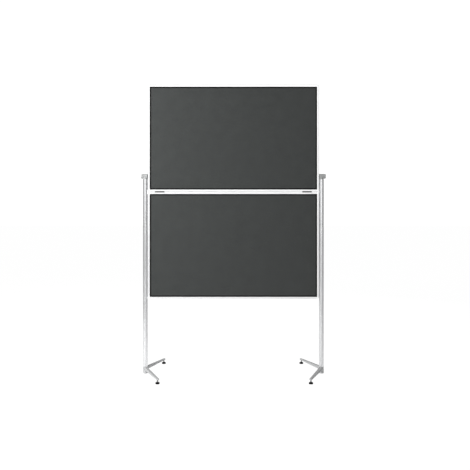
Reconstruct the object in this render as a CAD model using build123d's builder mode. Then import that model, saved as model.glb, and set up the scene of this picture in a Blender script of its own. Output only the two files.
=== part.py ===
from build123d import *
import math
import os

# Folding pinboard on two round posts. Two framed panels, one above the other, are joined
# by a pair of butt hinges at the seam. The lower panel hangs between the posts on headed
# studs; the upper one folds forward and down over it once the clamp knobs at the post
# heads are slackened. Each post stands on a hub with two low arms, spread in a wide V and
# carried on screwed levelling feet.
#
# Frame: millimetres, +Z up, front of the board towards -Y, origin on the floor midway
# between the posts.

os.makedirs("parts", exist_ok=True)

# ---- Driving dimensions -----------------------------------------------------------------

# Board
board_width = 1200.0
board_height = 1500.0
board_bottom = 523.0  # floor to the lower frame's underside
seam_gap = 3.0  # between the two frames

# Frame rail, an aluminium extrusion
rail_face = 14.0  # width seen from the front
rail_depth = 22.0
rail_edge_radius = 3.5
rail_wall = 1.8
lip_thickness = 2.8
lip_tip_radius = 0.7
groove_depth = 6.5  # how far the board sits into the rail

# Corner piece, moulded
corner_radius = 10.0
tenon_length = 34.0
tenon_clearance = 0.15

# Board sandwich: felt in front, light core, enamelled steel sheet behind
felt_thickness = 2.5
steel_thickness = 0.5
sheet_clearance = 0.1  # each side, between the sandwich and the groove
sheet_edge_gap = 0.6  # between the sandwich's edge and the groove's floor
bead_width = 9.0
bead_height = 1.6
bead_edge_radius = 1.0

# Posts
post_diameter = 32.0
post_wall = 2.0
post_gap = 1.5  # between the frame's side and the post
spigot_clearance = 0.1

# Hinges at the seam
hinge_inset = 52.0  # from the board's side to the hinge
hinge_length = 64.0
knuckle_count = 5
knuckle_radius = 4.0
knuckle_sink = 1.0  # how far the knuckles reach behind the frame's front face
knuckle_gap = 0.4
pin_radius = 1.75
pin_chamfer = 0.5
pin_clearance = 0.05
leaf_thickness = 1.2
leaf_depth = 20.0
leaf_screw_back = 13.0  # from the hinge's axis to the leaf's screws
leaf_screw_radius = 1.7
leaf_screw_head_radius = 2.8
leaf_screw_tip_gap = 1.2  # from the screw's tip to the floor of the rail's chamber
leaf_screw_pitch = 22.0
screw_clearance = 0.1

# Seam bumpers
bumper_length = 24.0
bumper_width = 10.0
bumper_corner_radius = 4.0
bumper_clearance = 0.3
bumper_pitch = 300.0

# Studs that hang the lower panel on the posts
stud_inset = 90.0  # from the lower panel's top and bottom
stud_radius = 3.0
stud_head_step = 2.5  # the head's radius over the stud's
stud_head_thickness = 3.0
stud_collar_step = 3.0
stud_play = 0.2
keyhole_drop = 12.0
nut_plate_length = 30.0

# Spacers on the posts at the seam, which keep the panels' sides off the posts
spacer_height = 16.0
spacer_width = 14.0
spacer_corner_radius = 2.0
spacer_wrap = 4.0  # how far the spacer reaches round the post
spacer_gap = 0.3  # between the spacer and the panels
spacer_peg_radius = 2.5
spacer_peg_length = 4.0  # into the post

# Clamp heads on the posts
clamp_height = 108.5  # above the seam
barrel_step = 0.5  # the barrel's radius over the post's
barrel_edge_radius = 1.5
neck_length = 5.0  # from the post's end to the barrel
neck_relief = 0.6  # the head's neck is this much slimmer than the post, on the radius
head_spigot_length = 60.0
spindle_radius = 4.0
bush_wall = 3.0
bush_length = 20.0
running_clearance = 0.05
spindle_hole_clearance = 0.4
clamp_pad_radius = 10.0
clamp_pad_thickness = 3.4
clamp_pad_gap = 0.3  # between the pad and the frame
clamp_travel = 1.875  # how far the screw draws the pad back
pad_edge_radius = 0.8
pad_recess_clearance = 0.4
pad_recess_end_gap = 0.425  # left behind the pad when it is drawn right back
spindle_nose_step = 1.0  # the nose's radius under the spindle's
pad_socket_depth = 2.0
knob_diameter = 32.0
knob_length = 13.2
knob_gap = 0.8  # between the knob and the head
knob_thread_share = 0.6  # of the knob's length that the spindle fills
knob_dome_radius = 5.0
knob_rim_radius = 1.0
knob_flute_radius = 3.0
knob_flute_step = 1.8  # from the knob's rim out to a flute's centre
knob_flutes = 10

# Foot hub and arms
hub_bottom = 1.5
hub_top = 48.0
hub_spigot_length = 62.0
hub_foot_chamfer = 1.0
hub_spigot_chamfer = 1.0
foot_inset = 108.5  # from the post's axis to the glide, towards the middle
foot_reach = 270.0  # from the post's axis to the glide, front and back
arm_overhang = 16.0  # of the tip past the glide's axis
arm_side_step = 5.0  # the arm's root is this much slimmer than the hub, each side
arm_tip_width = 18.0
arm_root_low = 26.0
arm_root_drop = 1.0  # from the hub's top to the arm's
arm_tip_low = 27.0
arm_tip_high = 36.5
arm_edge_radius = 3.5
arm_bolt_radius = 3.0
arm_bolt_head_radius = 5.0
arm_bolt_head_length = 6.0
arm_bolt_hex_radius = 2.5
arm_bolt_hex_depth = 3.0
arm_bolt_grip = 20.0  # length of thread in the arm
arm_bolt_point_room = 1.0  # drilled past the bolt's end
arm_bolt_head_depth = 1.5  # below the hub's surface
arm_bolt_edge = 5.0  # from the bolt's axis to the arm's top in front, or its underside behind
bolt_clearance = 0.2

# Levelling feet
glide_diameter = 28.0
glide_rim = 9.0
glide_height = 12.5
glide_foot_radius = 0.6
glide_rim_radius = 1.5
glide_neck_wall = 1.5
glide_socket_depth = 8.0
foot_spindle_top = 33.0
foot_spindle_chamfer = 0.8
foot_hex_step = 1.0  # the hexagon's flats over the spindle
foot_hex_height = 4.0
insert_wall = 2.0
insert_stand = 2.0  # below the arm's underside
insert_shoulder = 0.6  # the blind hole reaches this far past the insert
foot_travel_up = 1.5  # how far a foot can be screwed in
spindle_end_gap = 0.3  # left above the spindle when it is screwed right in

# Set screws that hold the posts on their spigots
set_screw_radius = 3.0
set_screw_length = 6.0
set_screw_inset = 18.0  # from the post's end
set_screw_hex_radius = 1.6
set_screw_hex_depth = 3.0

# ---- Sizes that follow ------------------------------------------------------------------

panel_height = (board_height - seam_gap) / 2
seam_height = board_bottom + panel_height + seam_gap / 2
half_width = board_width / 2
half_depth = rail_depth / 2

groove_width = rail_depth - 2 * lip_thickness
chamber_floor = rail_face - groove_depth - rail_wall  # from the rail's outer face
chamber_height = chamber_floor - rail_wall
chamber_width = groove_width
leaf_screw_length = chamber_floor - leaf_screw_tip_gap  # below the leaf

felt_front = -(groove_width / 2 - sheet_clearance)
felt_back = felt_front + felt_thickness
steel_back = groove_width / 2 - sheet_clearance
core_back = steel_back - steel_thickness
sheet_inset = rail_face - groove_depth + sheet_edge_gap  # from the frame's outside
sheet_width = board_width - 2 * sheet_inset
sheet_height = panel_height - 2 * sheet_inset

post_radius = post_diameter / 2
post_bore = post_radius - post_wall
post_axis = half_width + post_gap + post_radius
clamp_axis_height = seam_height + clamp_height
barrel_radius = post_radius + barrel_step
post_top = clamp_axis_height - barrel_radius - neck_length

hinge_axis_y = -(half_depth + knuckle_radius - knuckle_sink)
hinge_middle = half_width - hinge_inset - hinge_length / 2
leaf_screw_y = hinge_axis_y + leaf_screw_back
leaf_screw_offsets = [step * leaf_screw_pitch for step in (-1, 0, 1)]

barrel_inner = half_width + post_gap
barrel_outer = post_axis + post_radius
knob_inner = barrel_outer + knob_gap
spindle_end = knob_inner + knob_length * knob_thread_share
pad_face = half_width + clamp_pad_gap
pad_drawn_back = pad_face + clamp_pad_thickness + clamp_travel
pad_recess_depth = pad_drawn_back + pad_recess_end_gap - barrel_inner

stud_head_radius = stud_radius + stud_head_step
stud_collar_radius = stud_radius + stud_collar_step
bush_radius = spindle_radius + bush_wall
pad_socket_radius = spindle_radius - spindle_nose_step
glide_neck_radius = spindle_radius + glide_neck_wall
insert_radius = spindle_radius + insert_wall
spindle_hole_top = foot_spindle_top + foot_travel_up + spindle_end_gap
insert_top = spindle_hole_top - insert_shoulder

arm_root_width = post_diameter - 2 * arm_side_step
arm_root_high = hub_top - arm_root_drop
arm_length = math.hypot(foot_inset, foot_reach) + arm_overhang
front_bolt_height = arm_root_high - arm_bolt_edge
rear_bolt_height = arm_root_low + arm_bolt_edge

SIDES = (("left", -1), ("right", 1))
ENDS = (("front", -1), ("rear", 1))


def write(piece, label):
    """Labels a finished piece and writes it as one STEP file."""
    piece.part.label = label
    export_step(piece.part, f"parts/{label}.step")


def post_plane(side, height=0.0):
    """Horizontal plane centred on a post's axis."""
    return Plane.XY.offset(height).move(Location((side * post_axis, 0, 0)))


def across_plane(side, distance, height):
    """Plane across the X axis at a distance from the middle, facing outwards on that side."""
    return Plane(origin=(side * distance, 0, height), x_dir=(0, side, 0), z_dir=(side, 0, 0))


# ---- Framed panels ----------------------------------------------------------------------


def rail(start, inward, along, length, holes=(), hole_radius=0.0):
    """One straight length of the frame extrusion.

    The section has a groove on its inner side for the board and a closed chamber between
    the groove and the outer wall for the corner tenons. Holes go through the outer wall,
    at distances along the rail and across it.
    """
    with BuildPart() as piece:
        with BuildSketch(Plane(origin=start, x_dir=inward, z_dir=along)) as section:
            with Locations((rail_face / 2, 0)):
                Rectangle(rail_face, rail_depth)
            fillet(section.vertices().group_by(Axis.X)[0], rail_edge_radius)
            fillet(section.vertices().group_by(Axis.X)[-1], lip_tip_radius)
            with Locations((rail_face - groove_depth / 2, 0)):
                Rectangle(groove_depth, groove_width, mode=Mode.SUBTRACT)
            with Locations((rail_wall + chamber_height / 2, 0)):
                Rectangle(chamber_height, chamber_width, mode=Mode.SUBTRACT)
        extrude(amount=length)
        if holes:
            with BuildSketch(Plane(origin=start, x_dir=along, z_dir=inward)):
                with Locations(*holes):
                    Circle(hole_radius)
            extrude(amount=rail_wall, mode=Mode.SUBTRACT)
    return piece


def corner_pieces(bottom):
    """Four moulded corner pieces of one panel, each with a tenon into both of its rails."""
    top = bottom + panel_height
    tenon_height = chamber_height - 2 * tenon_clearance
    tenon_width = chamber_width - 2 * tenon_clearance
    tenon_centre = rail_wall + chamber_height / 2
    with BuildPart() as piece:
        with BuildSketch(Plane.XZ.offset(-half_depth)) as face:
            with Locations((-half_width, bottom)):
                Rectangle(rail_face, rail_face, align=(Align.MIN, Align.MIN))
            outer = face.vertices().sort_by(lambda v: v.X + v.Y)[0]
            fillet(outer, corner_radius)
        extrude(amount=rail_depth)
        rim = piece.edges().filter_by(
            lambda e: abs(abs(e.center().Y) - half_depth) < 0.01
            and e.center().X + e.center().Z < bottom - half_width + rail_face
        )
        fillet(rim, rail_edge_radius)
        pocket = Plane.XZ.offset(-groove_width / 2)
        with BuildSketch(pocket):
            with Locations((-half_width + rail_face, bottom + rail_face)):
                Rectangle(groove_depth, groove_depth, align=(Align.MAX, Align.MAX))
        extrude(amount=groove_width, mode=Mode.SUBTRACT)
        across = Plane.YZ.offset(-half_width + rail_face)
        with BuildSketch(across):
            with Locations((0, bottom + tenon_centre)):
                Rectangle(tenon_width, tenon_height)
        extrude(amount=tenon_length)
        upward = Plane.XY.offset(bottom + rail_face)
        with BuildSketch(upward):
            with Locations((-half_width + tenon_centre, 0)):
                Rectangle(tenon_height, tenon_width)
        extrude(amount=tenon_length)
        mirror(about=Plane.YZ)
        mirror(about=Plane.XY.offset((bottom + top) / 2))
    return piece


def sheet(bottom, front, back):
    """One layer of the board sandwich, held all round in the frame's groove."""
    with BuildPart() as piece:
        with BuildSketch(Plane.XZ.offset(-back)):
            with Locations((0, bottom + panel_height / 2)):
                Rectangle(sheet_width, sheet_height)
        extrude(amount=back - front)
    return piece


def edge_bead(bottom):
    """Soft bead that covers the felt's edge where it goes under the frame's lip."""
    opening_width = board_width - 2 * rail_face
    opening_height = panel_height - 2 * rail_face
    with BuildPart() as piece:
        with BuildSketch(Plane.XZ.offset(-felt_front)):
            with Locations((0, bottom + panel_height / 2)):
                Rectangle(opening_width, opening_height)
                Rectangle(
                    opening_width - 2 * bead_width,
                    opening_height - 2 * bead_width,
                    mode=Mode.SUBTRACT,
                )
        extrude(amount=bead_height)
        fillet(piece.faces().sort_by(Axis.Y)[0].inner_wires().edges(), bead_edge_radius)
    return piece


stud_heights = (board_bottom + stud_inset, board_bottom + panel_height - stud_inset)
rail_run = board_width - 2 * rail_face
rail_rise = panel_height - 2 * rail_face

for panel, bottom in (("lower", board_bottom), ("upper", seam_height + seam_gap / 2)):
    top = bottom + panel_height
    level_rails = (("bottom", bottom, 1), ("top", top, -1))
    for name, height, inward in level_rails:
        hinge_holes = []
        if (panel, name) in (("lower", "top"), ("upper", "bottom")):
            for centre in (-hinge_middle, hinge_middle):
                for offset in leaf_screw_offsets:
                    along = rail_run / 2 + centre + offset
                    hinge_holes.append((along, inward * leaf_screw_y))
        start = (-rail_run / 2, 0, height)
        hole_radius = leaf_screw_radius + screw_clearance
        level_rail = rail(start, (0, 0, inward), (1, 0, 0), rail_run, hinge_holes, hole_radius)
        write(level_rail, f"{panel}_frame_{name}_rail")

    for name, side in SIDES:
        stud_holes = []
        if panel == "lower":
            stud_holes = [(height - bottom - rail_face, 0) for height in stud_heights]
        start = (side * half_width, 0, bottom + rail_face)
        hole_radius = stud_radius + screw_clearance
        side_rail = rail(start, (-side, 0, 0), (0, 0, 1), rail_rise, stud_holes, hole_radius)
        write(side_rail, f"{panel}_frame_{name}_rail")

    write(corner_pieces(bottom), f"{panel}_corner_pieces")
    write(sheet(bottom, felt_front, felt_back), f"{panel}_felt")
    write(sheet(bottom, felt_back, core_back), f"{panel}_board_core")
    write(sheet(bottom, core_back, steel_back), f"{panel}_steel_sheet")
    write(edge_bead(bottom), f"{panel}_edge_bead")


# ---- Hinges and bumpers at the seam -----------------------------------------------------


def knuckle_span(index):
    """Start and length of one knuckle along the hinge."""
    pitch = hinge_length / knuckle_count
    return index * pitch + knuckle_gap / 2, pitch - knuckle_gap


def hinge_leaf(centre, upper):
    """One leaf with its share of the knuckles; the outer knuckles are the lower leaf's."""
    start = centre - hinge_length / 2
    outside = seam_height + (seam_gap / 2 if upper else -seam_gap / 2)
    towards_seam = -1 if upper else 1
    own = [i for i in range(knuckle_count) if (i % 2 == 1) == upper]
    others = [i for i in range(knuckle_count) if i not in own]
    with BuildPart() as piece:
        with BuildSketch(Plane.XY.offset(outside)):
            with Locations((start, hinge_axis_y)):
                Rectangle(hinge_length, leaf_depth, align=(Align.MIN, Align.MIN))
        extrude(amount=towards_seam * leaf_thickness)
        for index in others:
            offset, _ = knuckle_span(index)
            pitch = hinge_length / knuckle_count
            with BuildSketch(Plane.YZ.offset(start + offset - knuckle_gap)):
                with Locations((hinge_axis_y, seam_height)):
                    Circle(knuckle_radius + knuckle_gap)
            extrude(amount=pitch + knuckle_gap, mode=Mode.SUBTRACT)
        for index in own:
            offset, length = knuckle_span(index)
            with BuildSketch(Plane.YZ.offset(start + offset)):
                with Locations((hinge_axis_y, seam_height)):
                    Circle(knuckle_radius)
            extrude(amount=length)
        with BuildSketch(Plane.YZ.offset(start)):
            with Locations((hinge_axis_y, seam_height)):
                Circle(pin_radius + pin_clearance)
        extrude(amount=hinge_length, mode=Mode.SUBTRACT)
        seam_face = outside + towards_seam * leaf_thickness
        inside = Plane((0, 0, seam_face), x_dir=(1, 0, 0), z_dir=(0, 0, towards_seam))
        for offset in leaf_screw_offsets:
            place = inside.to_local_coords(Vector(centre + offset, leaf_screw_y, seam_face))
            with Locations(inside):
                with Locations((place.X, place.Y)):
                    CounterSinkHole(
                        radius=leaf_screw_radius + screw_clearance,
                        counter_sink_radius=leaf_screw_head_radius + screw_clearance,
                        counter_sink_angle=90,
                        depth=leaf_thickness,
                    )
    return piece


def hinge_pin(centre):
    """Plain pin through all the knuckles of one hinge."""
    with BuildPart() as piece:
        with BuildSketch(Plane.YZ.offset(centre - hinge_length / 2)):
            with Locations((hinge_axis_y, seam_height)):
                Circle(pin_radius)
        extrude(amount=hinge_length)
        chamfer(piece.edges().filter_by(GeomType.CIRCLE), pin_chamfer)
    return piece


def hinge_screws(upper):
    """Countersunk screws of both hinges' lower or upper leaves, flush in the leaf."""
    outwards = 1 if upper else -1
    seam_face = seam_height + outwards * (seam_gap / 2 - leaf_thickness)
    head_depth = leaf_screw_head_radius - leaf_screw_radius
    with BuildPart() as piece:
        for centre in (-hinge_middle, hinge_middle):
            for offset in leaf_screw_offsets:
                x = centre + offset
                origin = (x, leaf_screw_y, seam_face)
                with BuildSketch(Plane(origin, x_dir=(1, 0, 0), z_dir=(0, outwards, 0))):
                    with BuildLine():
                        Polyline(
                            (0, 0),
                            (leaf_screw_head_radius, 0),
                            (leaf_screw_radius, -head_depth),
                            (leaf_screw_radius, -(leaf_thickness + leaf_screw_length)),
                            (0, -(leaf_thickness + leaf_screw_length)),
                            close=True,
                        )
                    make_face()
                revolve(axis=Axis(origin, (0, 0, 1)))
    return piece


for name, side in SIDES:
    write(hinge_leaf(side * hinge_middle, upper=False), f"{name}_hinge_lower_leaf")
    write(hinge_leaf(side * hinge_middle, upper=True), f"{name}_hinge_upper_leaf")
    write(hinge_pin(side * hinge_middle), f"{name}_hinge_pin")
write(hinge_screws(upper=False), "hinge_lower_screws")
write(hinge_screws(upper=True), "hinge_upper_screws")

with BuildPart() as seam_bumpers:
    with BuildSketch(Plane.XY.offset(seam_height - seam_gap / 2)):
        with GridLocations(bumper_pitch, 1, 3, 1):
            RectangleRounded(bumper_length, bumper_width, bumper_corner_radius)
    extrude(amount=seam_gap - bumper_clearance)
write(seam_bumpers, "seam_bumpers")


# ---- Posts and the studs that carry the lower panel -------------------------------------

set_screw_heights = (hub_top + set_screw_inset, post_top - set_screw_inset)

for name, side in SIDES:
    with BuildPart() as post:
        with BuildSketch(post_plane(side, hub_top)):
            Circle(post_radius)
            Circle(post_bore, mode=Mode.SUBTRACT)
        extrude(amount=post_top - hub_top)
        for height in stud_heights:
            with BuildSketch(across_plane(side, barrel_inner, height)):
                with Locations((0, keyhole_drop)):
                    Circle(stud_head_radius + stud_play)
                with Locations((0, keyhole_drop / 2)):
                    Rectangle(2 * (stud_radius + stud_play), keyhole_drop)
                Circle(stud_radius + stud_play)
            extrude(amount=post_radius / 2, mode=Mode.SUBTRACT)
        with BuildSketch(across_plane(side, barrel_inner, seam_height)):
            Circle(spacer_peg_radius + running_clearance)
        extrude(amount=post_radius / 2, mode=Mode.SUBTRACT)
        for height in set_screw_heights:
            with BuildSketch(Plane.XZ):
                with Locations((side * post_axis, height)):
                    Circle(set_screw_radius + screw_clearance)
            extrude(amount=-post_radius, mode=Mode.SUBTRACT)
    write(post, f"{name}_post")

with BuildPart() as hanging_studs:
    for _, side in SIDES:
        for height in stud_heights:
            nut_end = half_width - rail_wall - chamber_height + tenon_clearance
            collar_end = barrel_inner - stud_play
            wall_end = post_axis - math.sqrt(post_bore**2 - stud_head_radius**2) + stud_play
            with BuildSketch(across_plane(side, nut_end, height)):
                Circle(stud_radius)
            extrude(amount=wall_end - nut_end)
            with BuildSketch(across_plane(side, half_width, height)):
                Circle(stud_collar_radius)
            extrude(amount=collar_end - half_width)
            with BuildSketch(across_plane(side, wall_end, height)):
                Circle(stud_head_radius)
            extrude(amount=stud_head_thickness)
write(hanging_studs, "hanging_studs")

with BuildPart() as stud_nut_plates:
    for _, side in SIDES:
        for height in stud_heights:
            plate_thickness = chamber_height - 2 * tenon_clearance
            plate_start = half_width - rail_wall - tenon_clearance - plate_thickness
            with BuildSketch(across_plane(side, plate_start, height)):
                Rectangle(chamber_width - 2 * tenon_clearance, nut_plate_length)
                Circle(stud_radius + running_clearance, mode=Mode.SUBTRACT)
            extrude(amount=plate_thickness)
write(stud_nut_plates, "stud_nut_plates")

with BuildPart() as seam_spacers:
    for _, side in SIDES:
        spacer_start = half_width + spacer_gap
        with BuildSketch(across_plane(side, spacer_start, seam_height)):
            RectangleRounded(spacer_width, spacer_height, spacer_corner_radius)
        extrude(amount=post_gap + spacer_wrap)
        with BuildSketch(post_plane(side, seam_height - spacer_height)):
            Circle(post_radius)
        extrude(amount=2 * spacer_height, mode=Mode.SUBTRACT)
        with BuildSketch(across_plane(side, spacer_start, seam_height)):
            Circle(spacer_peg_radius)
        extrude(amount=post_gap + spacer_peg_length)
write(seam_spacers, "seam_spacers")

with BuildPart() as post_set_screws:
    for _, side in SIDES:
        for height in set_screw_heights:
            with BuildSketch(Plane.XZ.offset(-post_radius + post_wall / 2)):
                with Locations((side * post_axis, height)):
                    Circle(set_screw_radius)
            extrude(amount=set_screw_length)
            with BuildSketch(Plane.XZ.offset(-post_radius + post_wall / 2)):
                with Locations((side * post_axis, height)):
                    RegularPolygon(set_screw_hex_radius, 6)
            extrude(amount=set_screw_hex_depth, mode=Mode.SUBTRACT)
write(post_set_screws, "post_set_screws")


# ---- Clamp heads ------------------------------------------------------------------------


def round_bar(side, start, end, radius, mode=Mode.ADD):
    """Adds or cuts a cylinder along X on the clamp's axis, between two distances out."""
    with BuildSketch(across_plane(side, start, clamp_axis_height)) as disc:
        Circle(radius)
    extrude(disc.sketch, amount=end - start, mode=mode)


def set_screw_seat(side, height):
    """Cuts the tapped hole in a spigot, from its rear side."""
    with BuildSketch(Plane.XZ) as hole:
        with Locations((side * post_axis, height)):
            Circle(set_screw_radius + screw_clearance)
    extrude(hole.sketch, amount=-post_radius, mode=Mode.SUBTRACT)


for name, side in SIDES:
    with BuildPart() as clamp_head:
        round_bar(side, barrel_inner, barrel_outer, barrel_radius)
        fillet(clamp_head.edges().filter_by(GeomType.CIRCLE), barrel_edge_radius)
        with BuildSketch(post_plane(side, post_top)):
            Circle(post_radius - neck_relief)
        extrude(amount=neck_length + barrel_radius)
        with BuildSketch(post_plane(side, post_top)):
            Circle(post_bore - spigot_clearance)
        extrude(amount=-head_spigot_length)
        recess_radius = clamp_pad_radius + pad_recess_clearance
        bush_start = barrel_outer - bush_length
        round_bar(side, barrel_inner, barrel_inner + pad_recess_depth, recess_radius, Mode.SUBTRACT)
        hole_radius = spindle_radius + spindle_hole_clearance
        round_bar(side, barrel_inner, barrel_outer, hole_radius, Mode.SUBTRACT)
        round_bar(side, bush_start, barrel_outer, bush_radius, Mode.SUBTRACT)
        set_screw_seat(side, set_screw_heights[1])
    write(clamp_head, f"{name}_clamp_head")

    with BuildPart() as clamp_pad:
        round_bar(side, pad_face, pad_face + clamp_pad_thickness, clamp_pad_radius)
        rims = clamp_pad.edges().filter_by(GeomType.CIRCLE).sort_by(lambda e: side * e.center().X)
        fillet(rims[0], pad_edge_radius)
        socket_start = pad_face + clamp_pad_thickness - pad_socket_depth
        socket_radius = pad_socket_radius + running_clearance
        round_bar(side, socket_start, pad_face + clamp_pad_thickness, socket_radius, Mode.SUBTRACT)
    write(clamp_pad, f"{name}_clamp_pad")

    with BuildPart() as clamp_spindle:
        shoulder = pad_face + clamp_pad_thickness + running_clearance
        nose = socket_start + running_clearance
        round_bar(side, nose, shoulder, pad_socket_radius)
        round_bar(side, shoulder, spindle_end, spindle_radius)
    write(clamp_spindle, f"{name}_clamp_spindle")

    with BuildPart() as clamp_knob:
        round_bar(side, knob_inner, knob_inner + knob_length, knob_diameter / 2)
        rims = clamp_knob.edges().filter_by(GeomType.CIRCLE).sort_by(lambda e: side * e.center().X)
        fillet(rims[-1], knob_dome_radius)
        rims = clamp_knob.edges().filter_by(GeomType.CIRCLE).sort_by(lambda e: side * e.center().X)
        fillet(rims[0], knob_rim_radius)
        with BuildSketch(across_plane(side, knob_inner, clamp_axis_height)):
            with PolarLocations(knob_diameter / 2 + knob_flute_step, knob_flutes):
                Circle(knob_flute_radius)
        extrude(amount=knob_length, mode=Mode.SUBTRACT)
        round_bar(side, knob_inner, spindle_end, spindle_radius, Mode.SUBTRACT)
    write(clamp_knob, f"{name}_clamp_knob")

with BuildPart() as clamp_bushes:
    for _, side in SIDES:
        round_bar(side, barrel_outer - bush_length, barrel_outer, bush_radius)
        bore = spindle_radius + running_clearance
        round_bar(side, barrel_outer - bush_length, barrel_outer, bore, Mode.SUBTRACT)
write(clamp_bushes, "clamp_bushes")


# ---- Foot hubs, arms and their bolts ----------------------------------------------------


def arm_direction(side, end):
    """Unit vector from a post's axis towards a glide; end is -1 in front and 1 behind."""
    return Vector(-side * foot_inset, end * foot_reach, 0).normalized()


def arm_frame(side, end):
    """Horizontal plane on the post's axis with its X axis along the arm."""
    return Plane((side * post_axis, 0, 0), x_dir=arm_direction(side, end), z_dir=(0, 0, 1))


def arm_side_frame(side, end):
    """Upright plane through the post's axis and along the arm, Y upwards."""
    direction = arm_direction(side, end)
    across = direction.cross(Vector(0, 0, 1))
    return Plane((side * post_axis, 0, 0), x_dir=direction, z_dir=across)


def bolt_plane(side, end, distance):
    """Plane square to the arm, a distance from the post's axis, at its bolt's height."""
    height = front_bolt_height if end < 0 else rear_bolt_height
    direction = arm_direction(side, end)
    origin = Vector(side * post_axis, 0, height) + direction * distance
    return Plane(origin, x_dir=(0, 0, 1), z_dir=direction)


def glide_centre(side, end):
    """Where a levelling foot's axis meets the floor."""
    return side * (post_axis - foot_inset), end * foot_reach


bolt_head_start = arm_bolt_head_depth - post_radius
bolt_head_end = bolt_head_start + arm_bolt_head_length
bolt_end = post_radius + arm_bolt_grip

for name, side in SIDES:
    with BuildPart() as hub:
        with BuildSketch(post_plane(side, hub_bottom)):
            Circle(post_radius)
        extrude(amount=hub_top - hub_bottom)
        chamfer(hub.edges().sort_by(Axis.Z)[0], hub_foot_chamfer)
        with BuildSketch(post_plane(side, hub_top)):
            Circle(post_bore - spigot_clearance)
        extrude(amount=hub_spigot_length)
        chamfer(hub.edges().sort_by(Axis.Z)[-1], hub_spigot_chamfer)
        for _, end in ENDS:
            with BuildSketch(bolt_plane(side, end, -post_radius)):
                Circle(arm_bolt_head_radius + bolt_clearance)
            extrude(amount=bolt_head_end + post_radius, mode=Mode.SUBTRACT)
            with BuildSketch(bolt_plane(side, end, -post_radius)):
                Circle(arm_bolt_radius + bolt_clearance)
            extrude(amount=2 * post_radius, mode=Mode.SUBTRACT)
        set_screw_seat(side, set_screw_heights[0])
    write(hub, f"{name}_foot_hub")

    for end_name, end in ENDS:
        with BuildPart() as arm:
            with BuildSketch(arm_frame(side, end)):
                with BuildLine():
                    tip = arm_length - arm_tip_width / 2
                    Line((0, -arm_root_width / 2), (tip, -arm_tip_width / 2))
                    Line((0, arm_root_width / 2), (tip, arm_tip_width / 2))
                    ThreePointArc((tip, -arm_tip_width / 2), (arm_length, 0), (tip, arm_tip_width / 2))
                    Line((0, -arm_root_width / 2), (0, arm_root_width / 2))
                make_face()
            extrude(amount=hub_top)
            with BuildSketch(arm_side_frame(side, end)):
                with BuildLine():
                    Polyline(
                        (0, arm_root_low),
                        (arm_length, arm_tip_low),
                        (arm_length, arm_tip_high),
                        (0, arm_root_high),
                        close=True,
                    )
                make_face()
            extrude(amount=arm_root_width, both=True, mode=Mode.INTERSECT)
            upper_rim = arm.faces().sort_by(Axis.Z)[-1].edges()
            lower_rim = arm.faces().sort_by(Axis.Z)[0].edges()
            rims = (upper_rim + lower_rim).filter_by(
                lambda e: math.hypot(e.center().X - side * post_axis, e.center().Y) > post_radius
            )
            fillet(rims, arm_edge_radius)
            with BuildSketch(post_plane(side)):
                Circle(post_radius)
            extrude(amount=hub_top, mode=Mode.SUBTRACT)
            with BuildSketch(bolt_plane(side, end, 0)):
                Circle(arm_bolt_radius + running_clearance)
            extrude(amount=bolt_end + arm_bolt_point_room, mode=Mode.SUBTRACT)
            x, y = glide_centre(side, end)
            with BuildSketch(Plane((x, y, 0))):
                Circle(insert_radius)
            extrude(amount=insert_top, mode=Mode.SUBTRACT)
            with BuildSketch(Plane((x, y, 0))):
                Circle(spindle_radius + spindle_hole_clearance)
            extrude(amount=spindle_hole_top, mode=Mode.SUBTRACT)
        write(arm, f"{name}_{end_name}_foot_arm")

with BuildPart() as arm_bolts:
    for _, side in SIDES:
        for _, end in ENDS:
            with BuildSketch(bolt_plane(side, end, bolt_head_start)):
                Circle(arm_bolt_head_radius)
            extrude(amount=arm_bolt_head_length)
            with BuildSketch(bolt_plane(side, end, bolt_head_start)):
                RegularPolygon(arm_bolt_hex_radius, 6)
            extrude(amount=arm_bolt_hex_depth, mode=Mode.SUBTRACT)
            with BuildSketch(bolt_plane(side, end, bolt_head_end)):
                Circle(arm_bolt_radius)
            extrude(amount=bolt_end - bolt_head_end)
write(arm_bolts, "foot_arm_bolts")

with BuildPart() as thread_inserts:
    insert_bottom = arm_tip_low - insert_stand
    for _, side in SIDES:
        for _, end in ENDS:
            x, y = glide_centre(side, end)
            with BuildSketch(Plane((x, y, insert_bottom))):
                Circle(insert_radius)
                Circle(spindle_radius + running_clearance, mode=Mode.SUBTRACT)
            extrude(amount=insert_top - insert_bottom)
write(thread_inserts, "foot_thread_inserts")


# ---- Levelling feet ---------------------------------------------------------------------

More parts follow.
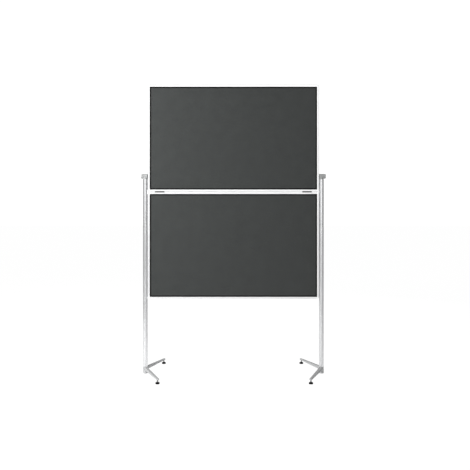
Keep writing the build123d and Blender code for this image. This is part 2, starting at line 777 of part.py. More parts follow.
for name, side in SIDES:
    for end_name, end in ENDS:
        x, y = glide_centre(side, end)
        turning_axis = Axis((x, y, 0), (0, 0, 1))
        profile_plane = Plane((x, y, 0), x_dir=(1, 0, 0), z_dir=(0, -1, 0))

        with BuildPart() as glide:
            with BuildSketch(profile_plane) as profile:
                with BuildLine():
                    Polyline(
                        (0, 0),
                        (glide_diameter / 2, 0),
                        (glide_diameter / 2, glide_rim),
                        (glide_neck_radius, glide_height),
                        (0, glide_height),
                        close=True,
                    )
                make_face()
            revolve(axis=turning_axis)
            fillet(glide.edges().filter_by(GeomType.CIRCLE).sort_by(Axis.Z)[0], glide_foot_radius)
            fillet(glide.edges().filter_by(GeomType.CIRCLE).sort_by(SortBy.RADIUS)[-1], glide_rim_radius)
            with BuildSketch(Plane((x, y, glide_height - glide_socket_depth))):
                Circle(spindle_radius + running_clearance)
            extrude(amount=glide_socket_depth, mode=Mode.SUBTRACT)
        write(glide, f"{name}_{end_name}_glide")

        with BuildPart() as foot_spindle:
            spindle_foot = glide_height - glide_socket_depth + running_clearance
            with BuildSketch(Plane((x, y, spindle_foot))):
                Circle(spindle_radius)
            extrude(amount=foot_spindle_top - spindle_foot)
            with BuildSketch(Plane((x, y, glide_height + running_clearance))):
                RegularPolygon(spindle_radius + foot_hex_step, 6, major_radius=False)
            extrude(amount=foot_hex_height)
            top_rim = foot_spindle.edges().filter_by(GeomType.CIRCLE).sort_by(Axis.Z)[-1]
            chamfer(top_rim, foot_spindle_chamfer)
        write(foot_spindle, f"{name}_{end_name}_foot_spindle")
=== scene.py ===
import math
import random

import bmesh
import bpy
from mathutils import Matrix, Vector


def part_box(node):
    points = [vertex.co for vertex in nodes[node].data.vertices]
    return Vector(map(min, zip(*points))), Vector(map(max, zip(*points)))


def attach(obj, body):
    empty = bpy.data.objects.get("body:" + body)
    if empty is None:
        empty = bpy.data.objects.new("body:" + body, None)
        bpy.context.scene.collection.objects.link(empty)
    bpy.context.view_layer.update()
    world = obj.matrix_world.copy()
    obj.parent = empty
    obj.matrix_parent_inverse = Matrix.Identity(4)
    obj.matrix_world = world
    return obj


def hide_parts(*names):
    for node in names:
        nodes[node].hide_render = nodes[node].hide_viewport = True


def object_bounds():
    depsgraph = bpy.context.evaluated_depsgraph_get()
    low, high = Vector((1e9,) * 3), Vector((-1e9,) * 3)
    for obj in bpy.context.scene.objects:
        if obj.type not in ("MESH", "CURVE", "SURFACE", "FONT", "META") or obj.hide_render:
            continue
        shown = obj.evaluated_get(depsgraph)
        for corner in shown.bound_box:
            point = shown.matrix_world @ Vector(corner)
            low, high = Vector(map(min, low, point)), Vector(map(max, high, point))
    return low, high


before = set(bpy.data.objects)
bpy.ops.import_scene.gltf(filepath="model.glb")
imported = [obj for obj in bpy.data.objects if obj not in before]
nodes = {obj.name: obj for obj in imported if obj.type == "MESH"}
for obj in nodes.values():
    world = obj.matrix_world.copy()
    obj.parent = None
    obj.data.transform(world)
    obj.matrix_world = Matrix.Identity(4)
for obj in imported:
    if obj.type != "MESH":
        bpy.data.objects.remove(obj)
cad_low, cad_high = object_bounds()

# ---- Posts ------------------------------------------------------------------------------
# Two round aluminium tubes, drawn through a die and clear anodised, so fine straight lines
# run along them. They are cut square, drilled for the studs and set screws, and stand on
# the foot hubs' spigots.


def add(tree, kind, inputs=None, **settings):
    """Adds a shader node. An input is a plain value or the output that it is linked from."""
    made = tree.nodes.new("ShaderNode" + kind)
    for name, value in settings.items():
        setattr(made, name, value)
    for key, value in (inputs or {}).items():
        if isinstance(value, bpy.types.NodeSocket):
            tree.links.new(value, made.inputs[key])
        else:
            made.inputs[key].default_value = value
    return made


def shader_group(name, inputs, outputs):
    """An empty shader group with its named sockets, and its input and output nodes."""
    tree = bpy.data.node_groups.new(name, "ShaderNodeTree")
    for label, kind, default in inputs:
        socket = tree.interface.new_socket(label, in_out="INPUT", socket_type="NodeSocket" + kind)
        socket.default_value = default
    for label, kind in outputs:
        tree.interface.new_socket(label, in_out="OUTPUT", socket_type="NodeSocket" + kind)
    return tree, tree.nodes.new("NodeGroupInput"), tree.nodes.new("NodeGroupOutput")


def place_group(tree, group, inputs):
    """Puts a shader group into a material with that material's own values."""
    return add(tree, "Group", inputs, node_tree=group)


def mix_colour(tree, share, first, second):
    """The output of a mix of two colours. Each is a colour or the output it is linked from."""
    ends = [
        colour if isinstance(colour, bpy.types.NodeSocket) else (*colour, 1)
        for colour in (first, second)
    ]
    mixed = add(tree, "Mix", {0: share, 6: ends[0], 7: ends[1]}, data_type="RGBA")
    return mixed.outputs[2]


def math_node(tree, operation, *values):
    """The output of a sum on two or three values or linked outputs."""
    return add(tree, "Math", dict(enumerate(values)), operation=operation).outputs[0]


def spread(tree, value, low, high, to_low, to_high, **settings):
    """The output of a value's range stretched to another range."""
    limits = {0: value, 1: low, 2: high, 3: to_low, 4: to_high}
    return add(tree, "MapRange", limits, **settings).outputs[0]


def multiply_vector(tree, vector, factors):
    """The output of a vector multiplied along each axis."""
    return add(tree, "VectorMath", {0: vector, 1: factors}, operation="MULTIPLY").outputs[0]


def noise(tree, vector, scale, detail):
    """The grey output of a noise texture."""
    cloud = add(tree, "TexNoise", {"Vector": vector, "Scale": scale, "Detail": detail})
    return cloud.outputs["Fac"]


def alongside(tree, first, second):
    """How far two directions agree."""
    dot = add(tree, "VectorMath", {0: first, 1: second}, operation="DOT_PRODUCT")
    return dot.outputs["Value"]


def principled(name, **plain):
    """A new material, its tree, its Principled shader and the piece's own coordinates."""
    material = bpy.data.materials.new(name)
    material.use_nodes = True
    tree = material.node_tree
    shader = tree.nodes["Principled BSDF"]
    for label, value in plain.items():
        shader.inputs[label.replace("_", " ")].default_value = value
    coordinates = add(tree, "TexCoord").outputs["Object"]
    return material, tree, shader, coordinates


def bump(tree, shader, height, distance):
    """Lets a height stand up from the surface by a distance in metres, and eases the edges."""
    edge_radius = 0.0005
    eased = add(tree, "Bevel", {"Radius": edge_radius}, samples=4)
    lifted = add(
        tree, "Bump", {"Height": height, "Distance": distance, "Normal": eased.outputs["Normal"]}
    )
    tree.links.new(lifted.outputs["Normal"], shader.inputs["Normal"])


def dress(material, *names):
    """Gives CAD pieces their finish."""
    for name in names:
        for slot in nodes[name].material_slots:
            slot.material = material


def die_lines_group():
    """Straight drawing lines: streaks that are long one way and fine across it."""
    tree, given, result = shader_group(
        "die_lines",
        [("Vector", "Vector", (0, 0, 0)), ("Stretch", "Vector", (900, 900, 9))],
        [("Streak", "Float"), ("Height", "Float")],
    )
    scaled = multiply_vector(tree, given.outputs["Vector"], given.outputs["Stretch"])
    fine = noise(tree, scaled, 1.0, 3.0)
    broad = noise(tree, scaled, 0.22, 1.0)
    broad_share = 0.35
    both = add(tree, "Mix", {0: broad_share, 2: fine, 3: broad})
    tree.links.new(both.outputs[0], result.inputs["Streak"])
    tree.links.new(fine, result.inputs["Height"])
    return tree


def handling_group():
    """Marks of use: soft smudges where hands have been, and a few fine crossing scratches."""
    tree, given, result = shader_group(
        "handling",
        [("Vector", "Vector", (0, 0, 0)), ("Smudge Scale", "Float", 9.0)],
        [("Smudge", "Float"), ("Scratch", "Float")],
    )
    cloud = noise(tree, given.outputs["Vector"], given.outputs["Smudge Scale"], 4.0)
    smudge = spread(tree, cloud, 0.45, 0.72, 0.0, 1.0)
    tree.links.new(smudge, result.inputs["Smudge"])
    scratch_stretch = (6, 420, 420)
    layers = []
    for turn in (0.4, 1.3, 2.5):
        turned = add(
            tree,
            "Mapping",
            {"Vector": given.outputs["Vector"], "Rotation": (turn, turn * 0.7, turn * 1.9)},
        )
        lines = noise(tree, multiply_vector(tree, turned.outputs[0], scratch_stretch), 1.0, 0.0)
        layers.append(spread(tree, lines, 0.735, 0.76, 0.0, 1.0))
    scratches = layers[0]
    for rare in layers[1:]:
        scratches = math_node(tree, "MAXIMUM", scratches, rare)
    tree.links.new(scratches, result.inputs["Scratch"])
    return tree


def edge_wear_group():
    """A mask that is strong on outside edges and breaks up along them."""
    tree, given, result = shader_group(
        "edge_wear",
        [("Vector", "Vector", (0, 0, 0)), ("Reach", "Float", 0.0008), ("Break Up", "Float", 260.0)],
        [("Edge", "Float")],
    )
    rounded = add(tree, "Bevel", {"Radius": given.outputs["Reach"]}, samples=4)
    true = add(tree, "NewGeometry")
    same = alongside(tree, rounded.outputs[0], true.outputs["True Normal"])
    turned = spread(tree, same, 0.985, 0.86, 0.0, 1.0)
    patches = noise(tree, given.outputs["Vector"], given.outputs["Break Up"], 2.0)
    worn = spread(tree, patches, 0.42, 0.62, 0.25, 1.0)
    tree.links.new(math_node(tree, "MULTIPLY", turned, worn), result.inputs["Edge"])
    return tree


die_lines = die_lines_group()
handling = handling_group()
edge_wear = edge_wear_group()


def anodised(name, colour, stretch, roughness, metallic):
    """Clear anodised aluminium: die lines, smudges, faint scratches and brighter edges."""
    material, tree, shader, at = principled(name, Metallic=metallic)
    lines = place_group(tree, die_lines, {"Vector": at, "Stretch": stretch})
    marks = place_group(tree, handling, {"Vector": at, "Smudge Scale": 7.0})
    edges = place_group(tree, edge_wear, {"Vector": at, "Reach": 0.0009})
    dark = tuple(0.93 * c for c in colour)
    light = tuple(min(1.0, 1.03 * c) for c in colour)
    streaked = mix_colour(tree, lines.outputs["Streak"], dark, light)
    bright = tuple(min(1.0, 1.08 * c) for c in colour)
    worn = mix_colour(tree, edges.outputs["Edge"], streaked, bright)
    tree.links.new(worn, shader.inputs["Base Color"])
    satin = spread(tree, lines.outputs["Streak"], 0.3, 0.7, roughness - 0.03, roughness + 0.04)
    smudge_dulling = 0.06
    touched = math_node(tree, "MULTIPLY_ADD", marks.outputs["Smudge"], smudge_dulling, satin)
    tree.links.new(touched, shader.inputs["Roughness"])
    scratch_depth = -0.6
    cut = math_node(
        tree, "MULTIPLY_ADD", marks.outputs["Scratch"], scratch_depth, lines.outputs["Height"]
    )
    line_relief = 0.00003
    bump(tree, shader, cut, line_relief)
    return material


post_colour = (0.86, 0.865, 0.875)
upright_lines = (1100, 1100, 9)  # die lines run up the piece
post_finish = anodised(
    "clear_anodised_post", post_colour, stretch=upright_lines, roughness=0.27, metallic=1.0
)
dress(post_finish, "left_post", "right_post")

# ---- Foot hubs and arms -----------------------------------------------------------------
# Each post stands on a die-cast hub with two die-cast arms, bolted on through the hub. All
# are silver powder coated, with the fine orange peel of the baked coat and a little dust
# on what faces up.


def dust_group():
    """Dust that has settled on surfaces facing up, thicker in some places than others."""
    tree, given, result = shader_group(
        "settled_dust",
        [("Vector", "Vector", (0, 0, 0)), ("Amount", "Float", 0.3)],
        [("Dust", "Float")],
    )
    facing = add(tree, "SeparateXYZ", {0: add(tree, "NewGeometry").outputs["Normal"]})
    up = spread(tree, facing.outputs["Z"], 0.35, 0.95, 0.0, 1.0)
    cloud = noise(tree, given.outputs["Vector"], 55.0, 5.0)
    uneven = spread(tree, cloud, 0.35, 0.65, 0.3, 1.0)
    share = math_node(tree, "MULTIPLY", up, uneven)
    dust = math_node(tree, "MULTIPLY", share, given.outputs["Amount"])
    tree.links.new(dust, result.inputs["Dust"])
    return tree


def coat_skin_group():
    """The surface of a baked or moulded skin: orange peel, fine grain and a slow tone."""
    tree, given, result = shader_group(
        "coat_skin",
        [("Vector", "Vector", (0, 0, 0)), ("Peel Scale", "Float", 700.0), ("Grain", "Float", 0.4)],
        [("Height", "Float"), ("Tone", "Float")],
    )
    peel = noise(tree, given.outputs["Vector"], given.outputs["Peel Scale"], 1.0)
    grain = noise(tree, given.outputs["Vector"], 3200.0, 2.0)
    skin = math_node(tree, "MULTIPLY_ADD", grain, given.outputs["Grain"], peel)
    slow = noise(tree, given.outputs["Vector"], 24.0, 3.0)
    tree.links.new(skin, result.inputs["Height"])
    tree.links.new(slow, result.inputs["Tone"])
    return tree


settled_dust = dust_group()
coat_skin = coat_skin_group()


def skinned(
    name, colour, roughness, peel, relief, dust=0.2, wear=0.5, grain=0.4, tone=0.06, **plain
):
    """A coated or moulded surface with its skin, slow tone, rubbed edges and dust."""
    material, tree, shader, at = principled(name, **plain)
    skin = place_group(tree, coat_skin, {"Vector": at, "Peel Scale": peel, "Grain": grain})
    edges = place_group(tree, edge_wear, {"Vector": at, "Reach": 0.0008})
    dusty = place_group(tree, settled_dust, {"Vector": at, "Amount": dust})
    dark = tuple((1 - tone) * c for c in colour)
    light = tuple(min(1.0, (1 + tone) * c) for c in colour)
    toned = mix_colour(tree, skin.outputs["Tone"], dark, light)
    rubbed = tuple(min(1.0, c + 0.14 * (1 - c)) for c in colour)
    share = math_node(tree, "MULTIPLY", edges.outputs["Edge"], wear)
    worn = mix_colour(tree, share, toned, rubbed)
    dust_colour = (0.50, 0.49, 0.47)
    dusted = mix_colour(tree, dusty.outputs["Dust"], worn, dust_colour)
    tree.links.new(dusted, shader.inputs["Base Color"])
    dull = spread(tree, skin.outputs["Tone"], 0.3, 0.7, roughness - 0.04, roughness + 0.05)
    dust_dulling = 0.35
    rough = math_node(tree, "MULTIPLY_ADD", dusty.outputs["Dust"], dust_dulling, dull)
    tree.links.new(rough, shader.inputs["Roughness"])
    bump(tree, shader, skin.outputs["Height"], relief)
    return material


SIDES = ("left", "right")
ENDS = ("front", "rear")
silver_coat = skinned(
    "silver_powder_coat",
    (0.47, 0.475, 0.48),
    roughness=0.42,
    peel=620.0,
    relief=0.00008,
    Metallic=0.35,
)
for side in SIDES:
    dress(silver_coat, f"{side}_foot_hub")
    for end in ENDS:
        dress(silver_coat, f"{side}_{end}_foot_arm")

# ---- Screws, studs and plates -----------------------------------------------------------
# Socket-head arm bolts, the feet's thread inserts, set screws, hinge screws and pins, the
# studs that hang the lower panel and their nut plates are zinc-plated steel with a faint
# blue and yellow cast.

zinc_plate, zinc_tree, zinc_shader, zinc_at = principled("zinc_plated_steel", Metallic=1.0)
zinc_skin = place_group(zinc_tree, coat_skin, {"Vector": zinc_at, "Peel Scale": 900.0})
zinc_blue = (0.56, 0.59, 0.64)
zinc_yellow = (0.68, 0.66, 0.60)
zinc_tint = mix_colour(zinc_tree, zinc_skin.outputs["Tone"], zinc_blue, zinc_yellow)
zinc_tree.links.new(zinc_tint, zinc_shader.inputs["Base Color"])
zinc_rough = spread(zinc_tree, zinc_skin.outputs["Tone"], 0.3, 0.7, 0.26, 0.40)
zinc_tree.links.new(zinc_rough, zinc_shader.inputs["Roughness"])
zinc_relief = 0.00004
bump(zinc_tree, zinc_shader, zinc_skin.outputs["Height"], zinc_relief)
dress(
    zinc_plate,
    "foot_arm_bolts",
    "foot_thread_inserts",
    "post_set_screws",
    "hanging_studs",
    "stud_nut_plates",
    "hinge_lower_screws",
    "hinge_upper_screws",
    "left_hinge_pin",
    "right_hinge_pin",
    "left_clamp_spindle",
    "right_clamp_spindle",
)

# ---- Brass bushes -----------------------------------------------------------------------
# A turned brass bush is pressed into each clamp head, and the clamp's spindle runs in it.
# The brass is dulled by handling and shows fine turning marks.

brass, brass_tree, brass_shader, brass_at = principled("turned_brass", Metallic=1.0)
turning_lines = (90, 90, 2600)
brass_lines = place_group(brass_tree, die_lines, {"Vector": brass_at, "Stretch": turning_lines})
dull_brass = (0.56, 0.40, 0.15)
bright_brass = (0.80, 0.62, 0.29)
brass_tint = mix_colour(brass_tree, brass_lines.outputs["Streak"], dull_brass, bright_brass)
brass_tree.links.new(brass_tint, brass_shader.inputs["Base Color"])
brass_rough = spread(brass_tree, brass_lines.outputs["Streak"], 0.3, 0.7, 0.25, 0.42)
brass_tree.links.new(brass_rough, brass_shader.inputs["Roughness"])
turning_relief = 0.00004
bump(brass_tree, brass_shader, brass_lines.outputs["Height"], turning_relief)
dress(brass, "clamp_bushes")

# ---- Levelling feet ---------------------------------------------------------------------
# Under each arm's tip a steel screw with a hexagon turns in a black nylon glide. The glide
# is injection moulded, dull black, with a little dust on its shoulder.

glide_nylon = skinned(
    "black_nylon",
    (0.005, 0.005, 0.0055),
    roughness=0.70,
    peel=900.0,
    relief=0.00006,
    dust=0.03,
    wear=0.12,
    Specular_IOR_Level=0.10,
)
for side in SIDES:
    for end in ENDS:
        dress(glide_nylon, f"{side}_{end}_glide")


def screw_mesh(name, radius, pitch, depth, low, high, hex_low, hex_high, across_flats):
    """A standing screw about Z: a helical thread, a plain hexagon collar and closed ends."""
    around = 24
    thread_profile = ((0.0, 0), (0.36, 1), (0.64, 1), (1.0, 0))  # share of the pitch, crest
    shape = bmesh.new()
    rows = []
    turns = (high - low) / pitch
    steps = int(turns * around)
    for step in range(steps + 1):
        angle = 2 * math.pi * step / around
        middle = low + (high - low - pitch) * step / steps
        fade = min(1.0, step / around, (steps - step) / around)
        row = []
        for share, crest in thread_profile:
            r = radius - depth * (1 - crest * fade)
            z = middle + share * pitch
            row.append(shape.verts.new((r * math.cos(angle), r * math.sin(angle), z)))
        rows.append(row)
    for first, second in zip(rows, rows[1:]):
        for k in range(3):
            shape.faces.new((first[k], second[k], second[k + 1], first[k + 1]))
    core_radius = radius - depth * 0.98  # just inside the groove's bottom
    core_sides = 32
    across_corners = across_flats / math.cos(math.pi / 6)
    add_prism(shape, core_sides, core_radius, low, high)
    add_prism(shape, 6, across_corners / 2, hex_low, hex_high)
    mesh = bpy.data.meshes.new(name)
    shape.normal_update()
    shape.to_mesh(mesh)
    shape.free()
    return mesh


def add_prism(shape, sides, radius, low, high):
    """Adds a closed upright prism about Z with chamfered ends to a bmesh."""
    cut = min(0.0006, (high - low) / 4)
    rings = []
    slim = radius - cut
    for r, z in ((slim, low), (radius, low + cut), (radius, high - cut), (slim, high)):
        ring = []
        for k in range(sides):
            angle = 2 * math.pi * (k + 0.5) / sides
            ring.append(shape.verts.new((r * math.cos(angle), r * math.sin(angle), z)))
        rings.append(ring)
    for lower, upper in zip(rings, rings[1:]):
        for k in range(sides):
            after = (k + 1) % sides
            shape.faces.new((lower[k], lower[after], upper[after], upper[k]))
    shape.faces.new(list(reversed(rings[0])))
    shape.faces.new(rings[-1])


# The screws' dark grey is partly painted shade: steel drawn darker to stand in for the shade under
# the arms' tips.
steel_with_painted_shade = anodised(
    "steel_with_painted_shade", (0.30, 0.30, 0.305), stretch=turning_lines, roughness=0.38, metallic=1.0
)
thread_pitch = 0.00125
thread_depth = 0.00068
hexagon_height = 0.004
hexagon_step = 0.001
hexagon_play = 0.00005
for side in SIDES:
    for end in ENDS:
        node = f"{side}_{end}_foot_spindle"
        low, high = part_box(node)
        glide_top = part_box(f"{side}_{end}_glide")[1].z + hexagon_play
        across_flats = high.y - low.y
        name = f"{side}_{end}_levelling_screw"
        mesh = screw_mesh(
            name,
            radius=across_flats / 2 - hexagon_step,
            pitch=thread_pitch,
            depth=thread_depth,
            low=low.z,
            high=high.z,
            hex_low=glide_top,
            hex_high=glide_top + hexagon_height,
            across_flats=across_flats,
        )
        screw = bpy.data.objects.new(name, mesh)
        centre = (low + high) / 2
        screw.location = (centre.x, centre.y, 0)
        screw.data.materials.append(steel_with_painted_shade)
        bpy.context.scene.collection.objects.link(screw)
        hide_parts(node)
        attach(screw, f"{side}_{end}_spindle_body")

# ---- Panel frames -----------------------------------------------------------------------
# Each panel is framed in four lengths of slim aluminium extrusion, clear anodised and cut
# square. Moulded corner pieces of light grey plastic join them with tenons.

rail_colour = (0.94, 0.943, 0.947)
rail_metal = 0.85
rail_roughness = 0.36
level_lines = (9, 1100, 1100)  # die lines run along the level rails
level_rail, upright_rail = [
    anodised(f"pale_anodised_{way}_rail", rail_colour, stretch, rail_roughness, rail_metal)
    for way, stretch in (("level", level_lines), ("upright", upright_lines))
]
corner_plastic = skinned(
    "corner_plastic",
    (0.80, 0.805, 0.81),
    roughness=0.40,
    peel=1500.0,
    relief=0.00005,
    dust=0.12,
    wear=0.3,
)
PANELS = ("lower", "upper")
for panel in PANELS:
    dress(level_rail, f"{panel}_frame_bottom_rail", f"{panel}_frame_top_rail")
    dress(upright_rail, f"{panel}_frame_left_rail", f"{panel}_frame_right_rail")
    dress(corner_plastic, f"{panel}_corner_pieces")

# ---- Felt -------------------------------------------------------------------------------
# The pinning face is needled polyester felt, dark grey with lighter and darker fibres laid
# every way. It is glued flat to the core, and its edge goes under the frame's lip.


def felt_fibre_group():
    """Fibres laid every way: thin curved streaks, lighter and darker, and a soft height."""
    tree, given, result = shader_group(
        "felt_fibres",
        [("Vector", "Vector", (0, 0, 0)), ("Fibre Scale", "Float", 260.0)],
        [("Light", "Float"), ("Dark", "Float"), ("Height", "Float"), ("Patch", "Float")],
    )
    wander = add(
        tree, "TexNoise", {"Vector": given.outputs["Vector"], "Scale": 90.0, "Detail": 2.0}
    )
    drift = add(
        tree,
        "VectorMath",
        {0: wander.outputs["Color"], 1: (0.006, 0.006, 0.006), 2: given.outputs["Vector"]},
        operation="MULTIPLY_ADD",
    )
    layers = []
    for angle in (0.15, 0.75, 1.35, 1.95, 2.6):
        turned = add(tree, "Mapping", {"Vector": drift.outputs[0], "Rotation": (0, angle, 0)})
        stretched = multiply_vector(tree, turned.outputs[0], (1.0, 6.0, 9.0))
        layers.append(noise(tree, stretched, given.outputs["Fibre Scale"], 1.5))
    light, dark = layers[0], layers[0]
    for strand in layers[1:]:
        light = math_node(tree, "MAXIMUM", light, strand)
        dark = math_node(tree, "MINIMUM", dark, strand)
    results = {
        "Light": spread(tree, light, 0.60, 0.80, 0.0, 1.0),
        "Dark": spread(tree, dark, 0.40, 0.20, 0.0, 1.0),
        "Height": math_node(tree, "ADD", light, dark),
        "Patch": noise(tree, given.outputs["Vector"], 14.0, 5.0),
    }
    for label, output in results.items():
        tree.links.new(output, result.inputs[label])
    return tree


felt_finish, felt_tree, felt_shader, felt_at = principled(
    "needled_felt",
    Roughness=0.95,
    Specular_IOR_Level=0.2,
    Sheen_Weight=0.12,
    Sheen_Roughness=0.5,
)
fibres = place_group(felt_tree, felt_fibre_group(), {"Vector": felt_at, "Fibre Scale": 260.0})
dark_patch = (0.0258, 0.0277, 0.0272)
light_patch = (0.0386, 0.0409, 0.0402)
light_fibre = (0.079, 0.083, 0.0815)
dark_fibre = (0.014, 0.015, 0.015)
felt_mixed = mix_colour(felt_tree, fibres.outputs["Patch"], dark_patch, light_patch)
felt_mixed = mix_colour(felt_tree, fibres.outputs["Light"], felt_mixed, light_fibre)
felt_mixed = mix_colour(felt_tree, fibres.outputs["Dark"], felt_mixed, dark_fibre)
felt_tree.links.new(felt_mixed, felt_shader.inputs["Base Color"])
fibre_relief = 0.0005
bump(felt_tree, felt_shader, fibres.outputs["Height"], fibre_relief)


def felt_sheet(name, low, high, seed):
    """A closed sheet of felt whose face rises and falls a little, thinner at its held edge."""
    spacing = 0.009
    relief = 0.00022
    held = 0.012  # width of the strip that the frame and bead press down
    pressed = 0.0003
    across = round((high.x - low.x) / spacing)
    up = round((high.z - low.z) / spacing)
    lumps = random.Random(seed)
    waves = [
        (lumps.uniform(20, 120), lumps.uniform(20, 120), lumps.uniform(0, 6.28)) for _ in range(9)
    ]
    shape = bmesh.new()
    fronts, backs = [], []
    for j in range(up + 1):
        for i in range(across + 1):
            x = low.x + (high.x - low.x) * i / across
            z = low.z + (high.z - low.z) * j / up
            edge = min(x - low.x, high.x - x, z - low.z, high.z - z)
            loose = min(1.0, max(0.0, (edge - held) / held))
            swell = sum(math.sin(a * x + b * z + c) for a, b, c in waves) / len(waves)
            y = low.y + pressed * (1 - loose) - relief * swell * loose
            fronts.append(shape.verts.new((x, y, z)))
            backs.append(shape.verts.new((x, high.y, z)))
    row = across + 1
    for j in range(up):
        for i in range(across):
            a, b = j * row + i, j * row + i + 1
            c, d = b + row, a + row
            shape.faces.new((fronts[a], fronts[b], fronts[c], fronts[d]))
            shape.faces.new((backs[d], backs[c], backs[b], backs[a]))
    rim = [j * row for j in range(up, 0, -1)]
    rim += list(range(across))
    rim += [j * row + across for j in range(up)]
    rim += [up * row + i for i in range(across, 0, -1)]
    for a, b in zip(rim, rim[1:] + rim[:1]):
        shape.faces.new((fronts[a], backs[a], backs[b], fronts[b]))
    mesh = bpy.data.meshes.new(name)
    bmesh.ops.recalc_face_normals(shape, faces=shape.faces)
    shape.to_mesh(mesh)
    shape.free()
    for face in mesh.polygons:
        face.use_smooth = abs(face.normal.y) > 0.5
    return bpy.data.objects.new(name, mesh)


PANEL_BODIES = ("stand", "upper_panel")
FELT_SEEDS = (40, 41)
for panel, body, seed in zip(PANELS, PANEL_BODIES, FELT_SEEDS):
    low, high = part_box(f"{panel}_felt")
    felt = felt_sheet(f"{panel}_felt_face", low, high, seed)
    felt.data.materials.append(felt_finish)
    bpy.context.scene.collection.objects.link(felt)
    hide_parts(f"{panel}_felt")
    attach(felt, body)

# ---- Board core, rear sheet and edge bead -----------------------------------------------
# Behind the felt is a light paper core, and behind that a thin steel sheet, enamelled
# white and glossy to write on. A soft black bead covers the felt's edge at the lip; its
# black is partly painted shade, drawn wide to stand in for the shadow line under the lip.

core_card = skinned(
    "paper_core",
    (0.62, 0.50, 0.34),
    roughness=0.85,
    peel=380.0,
    relief=0.0003,
    dust=0.0,
    wear=0.2,
    grain=1.0,
)
enamel = skinned(
    "white_enamel",
    (0.87, 0.875, 0.875),
    roughness=0.14,
    peel=75.0,
    relief=0.00012,
    dust=0.0,
    wear=0.2,
    grain=0.03,
    tone=0.012,
    Coat_Weight=0.6,
    Coat_Roughness=0.06,
)
# On the edge bead this black is partly painted shade, standing in for the shadow line at the
# frame's lip; on the clamp pads it is the rubber's own black.
black_rubber_and_painted_shade = skinned(
    "black_rubber_and_painted_shade",
    (0.006, 0.006, 0.006),
    roughness=0.75,
    peel=1300.0,
    relief=0.00007,
    dust=0.03,
    wear=0.1,
    Specular_IOR_Level=0.06,
)
for panel in PANELS:
    dress(core_card, f"{panel}_board_core")
    dress(enamel, f"{panel}_steel_sheet")
    # The bead's black is partly painted shade: it stands in for the shadow in the recess at the
    # frame's lip.
    dress(black_rubber_and_painted_shade, f"{panel}_edge_bead")

# ---- Seam: hinges, bumpers and spacers --------------------------------------------------
# Two steel butt hinges, black coated, join the panels. Bumpers of the same pale plastic as
# the corner pieces keep the frames apart, and a small spacer on each post keeps the panels
# off it.

hinge_black = skinned(
    "hinge_black",
    (0.016, 0.016, 0.0165),
    roughness=0.45,
    peel=800.0,
    relief=0.00006,
    dust=0.08,
    wear=0.8,
)
for side in SIDES:
    dress(hinge_black, f"{side}_hinge_lower_leaf", f"{side}_hinge_upper_leaf")
dress(corner_plastic, "seam_bumpers", "seam_spacers")

# ---- Clamp heads ------------------------------------------------------------------------
# A moulded head of grey glass-filled nylon closes each post. Its fluted knob turns a screw
# that presses a rubber-faced pad against the upper panel's side.

head_nylon = skinned(
    "grey_nylon",
    (0.25, 0.255, 0.255),
    roughness=0.44,
    peel=1000.0,
    relief=0.00007,
    dust=0.15,
    wear=0.4,
)
knob_nylon = skinned(
    "knob_nylon",
    (0.28, 0.285, 0.285),
    roughness=0.38,
    peel=1200.0,
    relief=0.00006,
    dust=0.12,
    wear=0.7,
)
for side in SIDES:
    dress(head_nylon, f"{side}_clamp_head")
    dress(knob_nylon, f"{side}_clamp_knob")
    dress(black_rubber_and_painted_shade, f"{side}_clamp_pad")

# ---- Studio -----------------------------------------------------------------------------
# A plain white room: a white floor, an even white surround that is brighter in front and
# to the left, and large soft lamps.

floor_gap = 0.0004
bpy.ops.mesh.primitive_plane_add(size=40, location=(0, 0, cad_low.z - floor_gap))
floor = bpy.context.object
floor.name = "studio_floor"
floor_paint, floor_tree, floor_shader, floor_at = principled("studio_white", Roughness=0.9)
floor_cloud = noise(floor_tree, floor_at, 1.5, 2.0)
floor_tone = mix_colour(floor_tree, floor_cloud, (0.80, 0.80, 0.80), (0.84, 0.84, 0.84))
floor_tree.links.new(floor_tone, floor_shader.inputs["Base Color"])
white = (1, 1, 1, 1)
floor_seen = add(floor_tree, "Emission", {"Color": white, "Strength": 1.10})
floor_eye = add(floor_tree, "LightPath").outputs["Is Camera Ray"]
lit_paper_share = 0.86  # the rest keeps the soft shadow under the stand
floor_share = math_node(floor_tree, "MULTIPLY", floor_eye, lit_paper_share)
floor_mixed = add(
    floor_tree,
    "MixShader",
    {0: floor_share, 1: floor_shader.outputs[0], 2: floor_seen.outputs[0]},
)
floor_tree.links.new(
    floor_mixed.outputs[0], floor_tree.nodes["Material Output"].inputs["Surface"]
)
floor.data.materials.append(floor_paint)

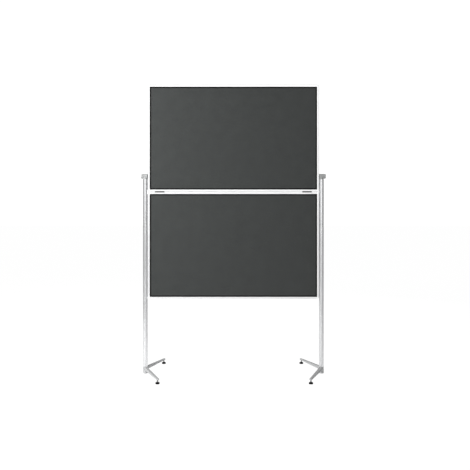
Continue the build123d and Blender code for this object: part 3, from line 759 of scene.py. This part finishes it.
surround = bpy.data.worlds.new("studio_surround")
bpy.context.scene.world = surround
surround.use_nodes = True
sky = surround.node_tree
way = add(sky, "TexCoord").outputs["Generated"]
towards_left = alongside(sky, way, (-0.9, -0.2, 0.1))
wall_light = spread(sky, towards_left, -0.8, 0.9, 0.16, 0.42)
towards_front = alongside(sky, way, (-0.12, -0.99, 0.05))
front_wall = spread(
    sky, towards_front, 0.50, 0.92, 0.0, 1.16, interpolation_type="SMOOTHSTEP"
)
both_walls = math_node(sky, "ADD", wall_light, front_wall)
lit = add(sky, "Background", {"Color": white, "Strength": both_walls})
seen = add(sky, "Background", {"Color": white, "Strength": 1.06})
by_eye = add(sky, "LightPath").outputs["Is Camera Ray"]
chosen = add(sky, "MixShader", {0: by_eye, 1: lit.outputs[0], 2: seen.outputs[0]})
sky.links.new(chosen.outputs[0], sky.nodes["World Output"].inputs["Surface"])


def soft_lamp(name, place, aim, width, power):
    """A large square lamp pointed at a place. Neither the eye nor glossy metal sees it."""
    lamp = bpy.data.lights.new(name, "AREA")
    lamp.size = width
    lamp.energy = power
    holder = bpy.data.objects.new(name, lamp)
    holder.location = place
    holder.rotation_euler = (Vector(aim) - Vector(place)).to_track_quat("-Z", "Y").to_euler()
    holder.visible_camera = False
    holder.visible_glossy = False
    bpy.context.scene.collection.objects.link(holder)


soft_lamp("key_lamp", place=(-1.9, -1.5, 1.9), aim=(-0.2, 0, 1.35), width=1.2, power=96)
soft_lamp("back_lamp", place=(1.4, 2.8, 2.4), aim=(0, 0, 1.2), width=1.8, power=45)
bpy.context.scene.view_settings.view_transform = "Standard"

# The camera stands a little left of the middle, at chest height, and looks level at the
# board. Its lens is shifted to frame the feet.
camera_data = bpy.data.cameras.new("studio_camera")
camera_data.lens = 53.6
camera_data.sensor_width = 36
camera_data.shift_x = 0.035
camera_data.shift_y = -0.0971
camera_data.clip_end = 60
camera = bpy.data.objects.new("studio_camera", camera_data)
camera.location = (-0.104, -4.911, 1.290)
camera.rotation_euler = (math.radians(90), 0, 0)
bpy.context.scene.collection.objects.link(camera)
bpy.context.scene.camera = camera

bpy.context.view_layer.update()
